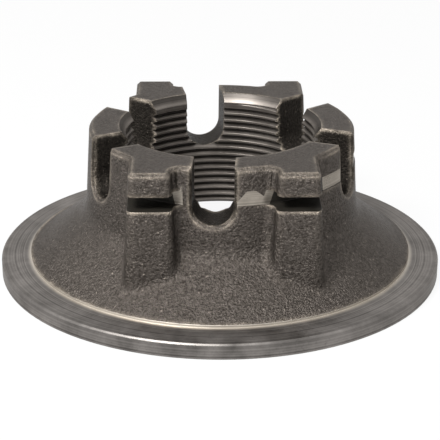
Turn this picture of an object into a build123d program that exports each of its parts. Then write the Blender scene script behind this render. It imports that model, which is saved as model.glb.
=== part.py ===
from build123d import *
import math
import os

# Castle nut of the flanged hub type: forged in one piece, then turned, milled and tapped.
# Millimetres, +Z up, origin at the centre of the underside, wrench faces square to Y.

# turned flange
flangeRadius = 59.0
rimHeight = 4.0
ringInnerRadius = 51.1   # where the turned ring meets the forged cone
ringRise = 0.5           # the turned ring climbs this much inward
rimBreak = 0.4           # broken upper edge of the rim

# underside
dishRadius = 46.0        # inside edge of the seating face
dishDepth = 7.0

# thread M52 x 2, modelled as its minor bore
threadSize = 52.0
threadPitch = 2.0
minorShare = 0.5413      # minor bore is smaller than the thread by twice this share of the pitch
topChamferWide = 1.75
topChamferDeep = 2.3
bottomChamfer = 1.6

# forged cone and barrel
nutHeight = 39.5
coneAngle = 36.0         # above the horizontal
coneFootRadius = 52.6    # forged cone at the height of the rim
turningStock = 1.2       # what the lathe takes off the forged flange, above and around
barrelTopRadius = 34.9
barrelDraft = 3.5
barrelFootFillet = 7.0
forgeShift = 0.35        # the forged body stands this far off the turned axis

# wrench lugs, two on each side of the barrel
lugFaceDistance = 38.4   # from the axis to the wrench face, at the top
lugInnerX = 13.2
lugOuterX = 23.4
lugDraft = 3.0
lugCorner = 1.2
lugFootFillet = 2.4

# turned groove across the lugs
grooveRadius = 35.45
grooveBottom = 29.9
grooveTop = 33.6

# castellations: two groups of three slots, the second group out of step with the first
slotWidth = 10.5
slotDepth = 15.0
slotPitch = 60.0
slotGroupAngles = (38.5, 206.0)
slotsInGroup = 3
wornEdge = 0.8           # worn outer edges of the crown and the slot mouths

minorRadius = threadSize / 2 - minorShare * threadPitch


def slopeOf(angle):
    return math.tan(math.radians(angle))


def outline(points):
    """Closed half outline of (radius, height) pairs."""
    return make_face(Polyline(*points, close=True))


def turned(face):
    return revolve(Plane.XZ * face, Axis.Z)


def forgedRound():
    """Cone and drafted barrel, with the fillet between them."""
    draft = slopeOf(barrelDraft)
    cone = slopeOf(coneAngle)
    rise = coneFootRadius - barrelTopRadius - (nutHeight - rimHeight) * draft
    footZ = rimHeight + rise * cone / (1 - draft * cone)
    footX = barrelTopRadius + (nutHeight - footZ) * draft
    flangeX = flangeRadius + turningStock
    flangeZ = rimHeight + turningStock
    flangeFootX = coneFootRadius - turningStock / cone
    face = outline([(0, 0), (flangeX, 0), (flangeX, flangeZ), (flangeFootX, flangeZ), (footX, footZ),
                    (barrelTopRadius, nutHeight), (0, nutHeight)])
    foot = face.vertices().sort_by_distance((footX, footZ, 0))[0]
    return turned(fillet(foot, barrelFootFillet))


def wrenchLug(side, face):
    """One drafted lug, from the underside to the crown."""
    grow = nutHeight * slopeOf(lugDraft)
    footWide = lugOuterX - lugInnerX + 2 * grow
    footFace = lugFaceDistance + grow
    rounded = RectangleRounded(footWide, 2 * footFace, lugCorner + grow)
    plan = Pos(side * (lugInnerX + lugOuterX) / 2) * rounded
    halfRoom = Pos(0, face * footFace, nutHeight / 2) * Box(4 * footFace, 2 * footFace, nutHeight)
    return extrude(plan, nutHeight, taper=lugDraft) & halfRoom


def isLugFoot(edge):
    """Inside corners between a lug and the round body."""
    middle = edge.center()
    inCrown = middle.Z > nutHeight - lugFootFillet
    onSkirt = middle.Z < rimHeight
    if inCrown or onSkirt or edge.geom_type == GeomType.LINE:
        return False
    return lugInnerX - lugFootFillet < abs(middle.X) < lugOuterX + lugFootFillet


def forging():
    """Round body and four lugs, blended and set off the turned axis."""
    solid = forgedRound()
    for side in (-1, 1):
        for face in (-1, 1):
            solid = solid + wrenchLug(side, face)
    feet = solid.edges().filter_by(isLugFoot)
    return Pos(forgeShift) * fillet(feet, lugFootFillet)


def slotCutter(angle):
    """Radial slot with a full round floor, open at the top."""
    middleZ = nutHeight - slotDepth + slotWidth / 2
    section = Pos(0, middleZ) * Circle(slotWidth / 2)
    section += Pos(0, middleZ + nutHeight / 2) * Rectangle(slotWidth, nutHeight)
    return Rot(0, 0, angle) * extrude(Plane.YZ * section, flangeRadius)


def slotAngles():
    firstTurn = -(slotsInGroup - 1) / 2
    return [group + (firstTurn + turn) * slotPitch
            for group in slotGroupAngles for turn in range(slotsInGroup)]


def isWornEdge(edge):
    """Outer edges of the crown and of the slot mouths, which shot-blasting wears off."""
    middle = edge @ 0.5
    inside = min((edge @ end).X ** 2 + (edge @ end).Y ** 2 for end in (0, 1)) < minorRadius ** 2
    if inside or middle.Z < nutHeight - slotDepth - wornEdge:
        return False
    onCrown = all(abs((edge @ end).Z - nutHeight) < wornEdge / 10 for end in (0, 1))
    return onCrown or any(isOnSlotWall(middle, angle) for angle in slotAngles())


def isOnSlotWall(point, angle):
    along = math.cos(math.radians(angle)) * point.X + math.sin(math.radians(angle)) * point.Y
    across = math.cos(math.radians(angle)) * point.Y - math.sin(math.radians(angle)) * point.X
    return along > 0 and abs(across) < slotWidth / 2 + wornEdge / 10


def latheRoom():
    """What the lathe leaves: the rim, the ring, and the room above the ring's inner edge."""
    return turned(outline([
        (0, 0), (flangeRadius, 0), (flangeRadius, rimHeight - rimBreak), (flangeRadius - rimBreak, rimHeight),
        (ringInnerRadius, rimHeight + ringRise), (ringInnerRadius, nutHeight), (0, nutHeight)]))


def boreAndDish():
    """Minor bore with its two chamfers, and the hollow underside."""
    return turned(outline([
        (0, 0), (dishRadius, 0), (minorRadius + bottomChamfer, dishDepth),
        (minorRadius, dishDepth + bottomChamfer), (minorRadius, nutHeight - topChamferDeep),
        (minorRadius + topChamferWide, nutHeight), (0, nutHeight)]))


def lugGroove():
    return turned(outline([(grooveRadius, grooveBottom), (flangeRadius, grooveBottom),
                           (flangeRadius, grooveTop), (grooveRadius, grooveTop)]))


def castleNut():
    """Slots go into the forging first, so that their worn mouths are broken before the lathe work."""
    solid = forging()
    for angle in slotAngles():
        solid = solid - slotCutter(angle)
    solid = chamfer(solid.edges().filter_by(isWornEdge), wornEdge)
    return (solid & latheRoom()) - boreAndDish() - lugGroove()


nut = castleNut()
print("castle nut: volume", round(nut.volume), "valid", nut.is_valid, "solids", len(nut.solids()))

os.makedirs("parts", exist_ok=True)
export_step(nut, "parts/castle_nut.step")
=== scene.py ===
import math

import bmesh
import bpy
from mathutils import Matrix, Vector


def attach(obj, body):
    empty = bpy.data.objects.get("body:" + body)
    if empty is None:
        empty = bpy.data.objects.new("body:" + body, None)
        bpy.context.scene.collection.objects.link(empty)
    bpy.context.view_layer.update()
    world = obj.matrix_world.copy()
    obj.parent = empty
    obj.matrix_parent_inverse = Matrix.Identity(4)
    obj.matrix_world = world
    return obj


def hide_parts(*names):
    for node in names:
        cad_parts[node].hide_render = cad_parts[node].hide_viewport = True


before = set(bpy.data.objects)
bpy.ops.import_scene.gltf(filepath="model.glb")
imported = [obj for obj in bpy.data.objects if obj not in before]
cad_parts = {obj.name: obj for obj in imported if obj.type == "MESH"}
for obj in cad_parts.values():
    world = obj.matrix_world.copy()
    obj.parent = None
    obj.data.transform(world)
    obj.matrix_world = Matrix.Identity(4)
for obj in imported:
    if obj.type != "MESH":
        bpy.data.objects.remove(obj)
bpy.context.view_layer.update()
print("frame loaded:", sorted(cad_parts))

mm = 0.001


def newMaterial(name):
    material = bpy.data.materials.new(name)
    material.use_nodes = True
    tree = material.node_tree
    return material, tree, tree.nodes["Principled BSDF"]


def addNode(tree, kind, settings=None, inputs=None):
    node = tree.nodes.new(kind)
    for key, value in (settings or {}).items():
        setattr(node, key, value)
    for key, value in (inputs or {}).items():
        node.inputs[key].default_value = value
    return node


def link(tree, source, target):
    tree.links.new(source, target)


def objectCoordinates(tree):
    return addNode(tree, "ShaderNodeTexCoord").outputs["Object"]


def noise(tree, coords, scale, detail=4.0, roughness=0.55):
    node = addNode(tree, "ShaderNodeTexNoise", None,
                   {"Scale": scale, "Detail": detail, "Roughness": roughness})
    link(tree, coords, node.inputs["Vector"])
    return node.outputs["Fac"]


def mathNode(tree, operation, first, second=None):
    node = addNode(tree, "ShaderNodeMath", {"operation": operation})
    for slot, value in enumerate((first, second)):
        if value is None:
            continue
        if isinstance(value, (int, float)):
            node.inputs[slot].default_value = value
        else:
            link(tree, value, node.inputs[slot])
    return node.outputs[0]


def weighted(tree, first, firstShare, second, secondShare):
    return mathNode(tree, "ADD", mathNode(tree, "MULTIPLY", first, firstShare),
                    mathNode(tree, "MULTIPLY", second, secondShare))


def remap(tree, value, low, high, toLow=0.0, toHigh=1.0):
    node = addNode(tree, "ShaderNodeMapRange", {"clamp": True},
                   {"From Min": low, "From Max": high, "To Min": toLow, "To Max": toHigh})
    link(tree, value, node.inputs["Value"])
    return node.outputs["Result"]


def mixColour(tree, factor, first, second):
    node = addNode(tree, "ShaderNodeMix", {"data_type": "RGBA"})
    link(tree, factor, node.inputs["Factor"])
    for socket, value in ((node.inputs[6], first), (node.inputs[7], second)):
        if isinstance(value, tuple):
            socket.default_value = (*value, 1.0)
        else:
            link(tree, value, socket)
    return node.outputs[2]


def bump(tree, height, strength, distance, normal=None):
    node = addNode(tree, "ShaderNodeBump", None, {"Strength": strength, "Distance": distance})
    link(tree, height, node.inputs["Height"])
    if normal is not None:
        link(tree, normal, node.inputs["Normal"])
    return node.outputs["Normal"]


def roundedNormal(tree, radius):
    return addNode(tree, "ShaderNodeBevel", {"samples": 6}, {"Radius": radius}).outputs["Normal"]


def edgeMask(tree, rounded, flatEdge, sharpEdge):
    # bright where the rounded normal turns away from the face's own; it places edge wear and a painted edge
    # highlight
    geometry = addNode(tree, "ShaderNodeNewGeometry")
    dot = addNode(tree, "ShaderNodeVectorMath", {"operation": "DOT_PRODUCT"})
    link(tree, rounded, dot.inputs[0])
    link(tree, geometry.outputs["Normal"], dot.inputs[1])
    return remap(tree, dot.outputs["Value"], flatEdge, sharpEdge)


def heightAndRadius(tree, coords):
    split = addNode(tree, "ShaderNodeSeparateXYZ")
    link(tree, coords, split.inputs[0])
    squareX = mathNode(tree, "POWER", split.outputs["X"], 2.0)
    squareY = mathNode(tree, "POWER", split.outputs["Y"], 2.0)
    radius = mathNode(tree, "SQRT", mathNode(tree, "ADD", squareX, squareY))
    return split.outputs["Z"], radius


# forged skin: shot-blasted, dark grey-brown, with edges lightened partly by wear and partly by a painted
# highlight
forgedLook = {
    "dark": (0.040, 0.034, 0.029),
    "light": (0.120, 0.105, 0.093),
    "wearAndHighlight": (0.50, 0.43, 0.35),
    "grainSize": 3200.0,     # larger is finer
    "pebbleSize": 1700.0,
    "wearSize": 260.0,
    "patchSize": 900.0,
    "speckSize": 1700.0,
    "grainDepth": 0.00062,
    "bumpStrength": 0.9,
    "edgeRadius": 0.0019,
    "edgeTurn": (0.995, 0.88),   # cosines between which an edge takes the wear colour and painted highlight
    "edgeWearAndHighlight": (0.2, 0.85),
    "speckWear": 0.5,
    "roughness": (0.28, 0.43),
    "metallic": 0.75,
    "shine": 0.1,
    "glance": (0.60, 0.59, 0.58, 1.0),   # how much a glancing view still mirrors
}


def forgedMaterial(name, look):
    material, tree, shader = newMaterial(name)
    coords = objectCoordinates(tree)
    grain = noise(tree, coords, look["grainSize"], 5.0, 0.65)
    pebble = noise(tree, coords, look["pebbleSize"], 3.0, 0.5)
    patch = noise(tree, coords, look["patchSize"], 3.0, 0.5)
    fine = weighted(tree, grain, 0.4, pebble, 0.4)
    tone = remap(tree, mathNode(tree, "ADD", fine, mathNode(tree, "MULTIPLY", patch, 0.2)), 0.40, 0.60)
    colour = mixColour(tree, tone, look["dark"], look["light"])
    rounded = roundedNormal(tree, look["edgeRadius"])
    edges = edgeMask(tree, rounded, *look["edgeTurn"])
    rub = noise(tree, coords, look["wearSize"], 3.0, 0.55)
    # edges take wear plus a painted highlight; random specks take wear only
    wearAndHighlightMix = mathNode(tree, "MULTIPLY", edges, remap(tree, rub, 0.38, 0.64, *look["edgeWearAndHighlight"]))
    speck = remap(tree, noise(tree, coords, look["speckSize"], 2.0, 0.5), 0.70, 0.76, 0.0, look["speckWear"])
    wearAndHighlightMix = mathNode(tree, "MAXIMUM", wearAndHighlightMix, speck)
    colour = mixColour(tree, wearAndHighlightMix, colour, look["wearAndHighlight"])
    link(tree, colour, shader.inputs["Base Color"])
    link(tree, remap(tree, grain, 0.3, 0.7, *look["roughness"]), shader.inputs["Roughness"])
    shader.inputs["Metallic"].default_value = look["metallic"]
    shader.inputs["Specular IOR Level"].default_value = look["shine"]
    shader.inputs["Specular Tint"].default_value = look["glance"]
    height = weighted(tree, grain, 0.4, pebble, 0.8)
    link(tree, bump(tree, height, look["bumpStrength"], look["grainDepth"], rounded), shader.inputs["Normal"])
    return material


# turned skin: fine rings round the axis, dull, with painted shade towards a thread's root
turnedLook = {
    "dark": (0.075, 0.069, 0.064),
    "light": (0.25, 0.232, 0.218),
    "ringPitch": 0.00045,
    "ringDepth": 0.00003,
    "ringStrength": 0.6,
    "smearSize": 120.0,
    "gritSize": 1800.0,
    "edgeRadius": 0.0003,
    "rootShadeShare": 0.22,        # painted root shade as a share of the dark colour
    "rootShadeDepth": 0.75,
    "roughness": (0.30, 0.48),
    "metallic": 0.8,
    "glance": (0.66, 0.64, 0.62, 1.0),
    "shoulderHighlightWidth": 0.0010,
    "shoulderHighlightColour": (0.60, 0.55, 0.48),
}


def turnedMaterial(name, look, crest=None, root=None, shoulder=None):
    # crest and root are radii between which the colour falls to dark, a painted shade in the thread's roots;
    # shoulder is the radius of a painted highlight line
    material, tree, shader = newMaterial(name)
    coords = objectCoordinates(tree)
    height, radius = heightAndRadius(tree, coords)
    rings = addNode(tree, "ShaderNodeTexNoise", {"noise_dimensions": "1D"},
                    {"Scale": 1.0 / look["ringPitch"], "Detail": 3.0, "Roughness": 0.6})
    link(tree, mathNode(tree, "ADD", radius, height), rings.inputs["W"])
    smear = noise(tree, coords, look["smearSize"], 4.0, 0.6)
    grit = noise(tree, coords, look["gritSize"], 3.0, 0.6)
    tone = weighted(tree, rings.outputs["Fac"], 0.5, smear, 0.5)
    colour = mixColour(tree, remap(tree, tone, 0.36, 0.64), look["dark"], look["light"])
    colour = mixColour(tree, remap(tree, grit, 0.58, 0.74, 0.0, 0.5), colour, look["dark"])
    if crest is not None:
        rootShade = tuple(channel * look["rootShadeShare"] for channel in look["dark"])
        # painted shade: the thread darkens from crest to root
        colour = mixColour(tree, remap(tree, radius, crest, root, 0.0, look["rootShadeDepth"]), colour, rootShade)
    if shoulder is not None:
        # painted highlight: a bright line all round the ring's inner shoulder
        away = mathNode(tree, "ABSOLUTE", mathNode(tree, "SUBTRACT", radius, shoulder))
        nearShoulder = remap(tree, away, 0.0, look["shoulderHighlightWidth"], 0.9, 0.0)
        aboveSeat = remap(tree, height, 1.0 * mm, 3.0 * mm)
        wearAndHighlight = mathNode(tree, "MULTIPLY", nearShoulder, aboveSeat)
        colour = mixColour(tree, wearAndHighlight, colour, look["shoulderHighlightColour"])
    link(tree, colour, shader.inputs["Base Color"])
    link(tree, remap(tree, smear, 0.3, 0.7, *look["roughness"]), shader.inputs["Roughness"])
    shader.inputs["Metallic"].default_value = look["metallic"]
    shader.inputs["Specular Tint"].default_value = look["glance"]
    rounded = roundedNormal(tree, look["edgeRadius"])
    normal = bump(tree, rings.outputs["Fac"], look["ringStrength"], look["ringDepth"], rounded)
    link(tree, normal, shader.inputs["Normal"])
    return material


# painted shade: a near-black copy of the forged skin for the slot walls and floors
slotShadeLook = {**forgedLook, "dark": (0.014, 0.012, 0.010), "light": (0.038, 0.033, 0.028), "shine": 0.05}
# painted shade: near black for the machined groove under the lugs
grooveShadeLook = {**turnedLook, "dark": (0.010, 0.009, 0.007), "light": (0.030, 0.027, 0.022), "metallic": 0.2}
bandLook = {**turnedLook, "dark": (0.20, 0.178, 0.15), "light": (0.40, 0.36, 0.31), "roughness": (0.25, 0.40)}
threadLook = {**turnedLook, "dark": (0.10, 0.088, 0.078), "light": (0.21, 0.188, 0.168)}
skins = {
    "forged": forgedMaterial("forged_skin", forgedLook),
    "turned": turnedMaterial("turned_skin", turnedLook, shoulder=51.1 * mm),
    "thread": turnedMaterial("thread_skin", threadLook, 25.3 * mm, 25.95 * mm),
    "slot": forgedMaterial("slot_painted_shade", slotShadeLook),
    "groove": turnedMaterial("groove_shade", grooveShadeLook),
    "band": turnedMaterial("groove_band", bandLook),
}
print("materials made")

# the nut, with the thread cut into the plain bore
threadCut = {
    "pitch": 2.0 * mm,
    "rootRadius": 26.0 * mm,
    "minorRadius": 24.917 * mm,
    "overlap": 0.4 * mm,       # how far the cutter stands inside the bore
    "rootFlat": 0.25 * mm,
    "flankAngle": 30.0,
    "steps": 96,               # per turn
    "phase": 0.77,             # turns
    "low": -2.0 * mm,
    "high": 37.0 * mm,         # the thread starts below the top chamfer
    "runOut": 0.2,             # turns over which it fades out there
}


def threadCutter(cut):
    # right-hand helical ridge, which leaves the thread when it is cut from the bore
    innerRadius = cut["minorRadius"] - cut["overlap"]
    slope = math.tan(math.radians(cut["flankAngle"]))
    builder = bmesh.new()
    count = int((cut["high"] - cut["low"]) / cut["pitch"] * cut["steps"])
    previous = None
    for step in range(count + 1):
        turn = step / cut["steps"]
        angle = (turn + cut["phase"]) * 2 * math.pi
        z = cut["low"] + turn * cut["pitch"]
        depth = cut["rootRadius"] - innerRadius
        depth *= max(0.05, min(1.0, (count - step) / (cut["steps"] * cut["runOut"])))
        halfRoot = cut["rootFlat"] / 2
        halfInner = halfRoot + depth * slope
        outer = innerRadius + depth
        section = ((innerRadius, -halfInner), (outer, -halfRoot), (outer, halfRoot), (innerRadius, halfInner))
        ring = [builder.verts.new((r * math.cos(angle), r * math.sin(angle), z + dz)) for r, dz in section]
        if previous is None:
            builder.faces.new(list(reversed(ring)))
        else:
            for i in range(len(ring)):
                j = (i + 1) % len(ring)
                builder.faces.new((previous[i], previous[j], ring[j], ring[i]))
        previous = ring
    builder.faces.new(previous)
    bmesh.ops.recalc_face_normals(builder, faces=builder.faces)
    mesh = bpy.data.meshes.new("thread_cutter")
    builder.to_mesh(mesh)
    builder.free()
    cutter = bpy.data.objects.new("thread_cutter", mesh)
    bpy.context.scene.collection.objects.link(cutter)
    return cutter


def weldedCopy(source, name):
    builder = bmesh.new()
    builder.from_mesh(source.data)
    bmesh.ops.remove_doubles(builder, verts=builder.verts, dist=0.002 * mm)
    bmesh.ops.recalc_face_normals(builder, faces=builder.faces)
    mesh = bpy.data.meshes.new(name)
    builder.to_mesh(mesh)
    builder.free()
    piece = bpy.data.objects.new(name, mesh)
    bpy.context.scene.collection.objects.link(piece)
    return piece


def applyModifiers(piece):
    graph = bpy.context.evaluated_depsgraph_get()
    mesh = bpy.data.meshes.new_from_object(piece.evaluated_get(graph))
    piece.modifiers.clear()
    piece.data = mesh


def cutThread(piece):
    cutter = threadCutter(threadCut)
    cut = piece.modifiers.new("thread", "BOOLEAN")
    cut.operation = "DIFFERENCE"
    cut.solver = "EXACT"
    cut.object = cutter
    applyModifiers(piece)
    bpy.data.objects.remove(cutter)


regions = {
    "ringInnerRadius": 51.0 * mm,
    "ringTop": 5.45 * mm,
    "boreZone": 26.9 * mm,
    "grooveRadius": 35.45 * mm,
    "grooveLow": 29.9 * mm,
    "grooveHigh": 33.6 * mm,
    "grooveSlack": 0.15 * mm,
    "crown": 39.5 * mm,
    "near": 0.03 * mm,
    "slotFloor": 24.5 * mm,
    "floorBelow": 1.0 * mm,  # the round floor lies between these, about slotFloor
    "floorAbove": 5.3 * mm,
    "boreFloorAbove": 5.0 * mm,
    "slotReach": 36.0 * mm,
    "lugInner": 12.6 * mm,
    "lugOuter": 25.0 * mm,
    "lugSide": 25.0 * mm,    # the lugs lie further than this from the middle plane
}


def regionOf(centre, normal, zones):
    # which skin a face wears, by where it lies and which way it looks
    radius = math.hypot(centre.x, centre.y)
    onLug = zones["lugInner"] < abs(centre.x) < zones["lugOuter"] and abs(centre.y) > zones["lugSide"]
    radial = (centre.x * normal.x + centre.y * normal.y) / max(radius, 1e-9)
    around = (centre.x * normal.y - centre.y * normal.x) / max(radius, 1e-9)
    if centre.z < zones["near"]:
        return "turned"
    if radius > zones["ringInnerRadius"] and centre.z < zones["ringTop"]:
        return "turned"
    # the machined groove is painted near black as shade under the lugs, and keeps its bright band on the open
    # barrel
    inGroove = zones["grooveLow"] - zones["near"] < centre.z < zones["grooveHigh"] + zones["near"]
    if inGroove and abs(radius - zones["grooveRadius"]) < zones["grooveSlack"] and radial > 0.9:
        return "groove" if onLug else "band"
    if inGroove and abs(normal.z) > 0.9 and radius > zones["grooveRadius"] - zones["near"]:
        return "groove"
    floorLow = zones["slotFloor"] - zones["floorBelow"]
    if radius < zones["boreZone"] and abs(around) < 0.6 and centre.z < zones["crown"] - zones["near"]:
        atFloor = floorLow < centre.z < zones["slotFloor"] + zones["boreFloorAbove"]
        if not (normal.z > 0.5 and atFloor and radial > -0.05):
            return "thread"
    # slot walls and floors wear the painted shade
    inReach = radius < zones["slotReach"]
    isWall = abs(around) > 0.6 and centre.z > zones["slotFloor"]
    isFloor = normal.z > 0.2 and floorLow < centre.z < zones["slotFloor"] + zones["floorAbove"]
    if inReach and (isWall or (isFloor and abs(radial) < 0.5)):
        return "slot"
    return "forged"


sharpAngle = 24.0    # degrees; a steeper edge stays crisp


def dressNut(piece):
    mesh = piece.data
    mesh.materials.clear()
    for material in skins.values():
        mesh.materials.append(material)
    order = list(skins)
    for face in mesh.polygons:
        face.use_smooth = True
        face.material_index = order.index(regionOf(face.center, face.normal, regions))
    builder = bmesh.new()
    builder.from_mesh(mesh)
    sharp = math.radians(sharpAngle)
    for edge in builder.edges:
        edge.smooth = len(edge.link_faces) == 2 and edge.calc_face_angle(math.pi) < sharp
    builder.to_mesh(mesh)
    builder.free()
    even = piece.modifiers.new("even_normals", "WEIGHTED_NORMAL")
    even.keep_sharp = True
    even.weight = 100


nut = weldedCopy(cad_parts["castle_nut"], "castle_nut_skin")
cutThread(nut)
dressNut(nut)
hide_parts("castle_nut")
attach(nut, "root")
print("nut made:", len(nut.data.polygons), "faces")

# floor, light and camera
stageLook = {
    "floorColour": (0.93, 0.93, 0.93),
    "floorHalf": 3.0,
    "floorGlow": 0.92,       # how far the floor is lifted to white
    "worldStrength": 0.12,
}


def seenWhite(tree):
    # camera, glossy and transmission rays, which all see the white background
    path = addNode(tree, "ShaderNodeLightPath")
    first = mathNode(tree, "MAXIMUM", path.outputs["Is Camera Ray"], path.outputs["Is Glossy Ray"])
    return mathNode(tree, "MAXIMUM", first, path.outputs["Is Transmission Ray"])


def makeFloor(look):
    half = look["floorHalf"]
    mesh = bpy.data.meshes.new("floor")
    corners = [(-half, -half, 0), (half, -half, 0), (half, half, 0), (-half, half, 0)]
    mesh.from_pydata(corners, [], [(0, 1, 2, 3)])
    floor = bpy.data.objects.new("floor", mesh)
    bpy.context.scene.collection.objects.link(floor)
    floor.location.z = -0.0001
    material, tree, shader = newMaterial("floor_paper")
    shader.inputs["Base Color"].default_value = (*look["floorColour"], 1.0)
    shader.inputs["Roughness"].default_value = 0.9
    glow = addNode(tree, "ShaderNodeEmission", None, {"Color": (1, 1, 1, 1), "Strength": 1.0})
    mixer = addNode(tree, "ShaderNodeMixShader")
    share = mathNode(tree, "MULTIPLY", seenWhite(tree), look["floorGlow"])
    link(tree, share, mixer.inputs["Fac"])
    link(tree, shader.outputs["BSDF"], mixer.inputs[1])
    link(tree, glow.outputs["Emission"], mixer.inputs[2])
    link(tree, mixer.outputs["Shader"], tree.nodes["Material Output"].inputs["Surface"])
    mesh.materials.append(material)
    return floor


def makeWorld(look):
    world = bpy.data.worlds.new("studio")
    bpy.context.scene.world = world
    world.use_nodes = True
    tree = world.node_tree
    back = tree.nodes["Background"]
    back.inputs["Color"].default_value = (1, 1, 1, 1)
    back.inputs["Strength"].default_value = look["worldStrength"]
    white = addNode(tree, "ShaderNodeBackground", None, {"Color": (1, 1, 1, 1), "Strength": 1.0})
    mixer = addNode(tree, "ShaderNodeMixShader")
    link(tree, seenWhite(tree), mixer.inputs["Fac"])
    link(tree, back.outputs["Background"], mixer.inputs[1])
    link(tree, white.outputs["Background"], mixer.inputs[2])
    link(tree, mixer.outputs["Shader"], tree.nodes["World Output"].inputs["Surface"])


def softLight(name, place, target, size, power):
    data = bpy.data.lights.new(name, "AREA")
    data.shape = "RECTANGLE"
    data.size, data.size_y = size
    data.energy = power
    lamp = bpy.data.objects.new(name, data)
    bpy.context.scene.collection.objects.link(lamp)
    lamp.location = place
    lamp.rotation_euler = (Vector(target) - Vector(place)).to_track_quat("-Z", "Y").to_euler()
    return lamp


makeFloor(stageLook)
makeWorld(stageLook)
lamps = {
    "key": {"place": (-0.33, -0.46, 0.72), "size": (0.30, 0.30), "power": 11.5},
    "left": {"place": (-0.75, -0.30, 0.42), "size": (0.4, 0.3), "power": 0.9},
}
for lampName, lamp in lamps.items():
    softLight(lampName, lamp["place"], (0, 0, 0.02), lamp["size"], lamp["power"])
print("lamps set:", len(lamps))

shot = {
    "distance": 424.62 * mm,
    "elevation": 23.72,
    "turn": -1.1,            # the camera stands this far round from -Y
    "lens": 126.83,
    "sensor": 36.0,
    "aimAbove": 1.488,       # degrees between the origin and the middle of the view
    "roll": 0.167,
}


def makeCamera(view):
    data = bpy.data.cameras.new("camera")
    camera = bpy.data.objects.new("camera", data)
    bpy.context.scene.collection.objects.link(camera)
    data.sensor_width = view["sensor"]
    data.lens = view["lens"]
    tilt, turn = math.radians(view["elevation"]), math.radians(view["turn"])
    back = Vector((math.sin(turn) * math.cos(tilt), -math.cos(turn) * math.cos(tilt), math.sin(tilt)))
    right = Vector((math.cos(turn), math.sin(turn), 0))
    up = back.cross(right)
    basis = Matrix((right, up, back)).transposed()
    aim = Matrix.Rotation(math.radians(view["aimAbove"]), 3, "X")
    aim = aim @ Matrix.Rotation(math.radians(view["roll"]), 3, "Z")
    camera.matrix_world = Matrix.Translation(back * view["distance"]) @ (basis @ aim).to_4x4()
    data.clip_start, data.clip_end = 0.01, 20
    bpy.context.scene.camera = camera
    return camera


makeCamera(shot)
bpy.context.scene.view_settings.view_transform = "Standard"

print("stage set")
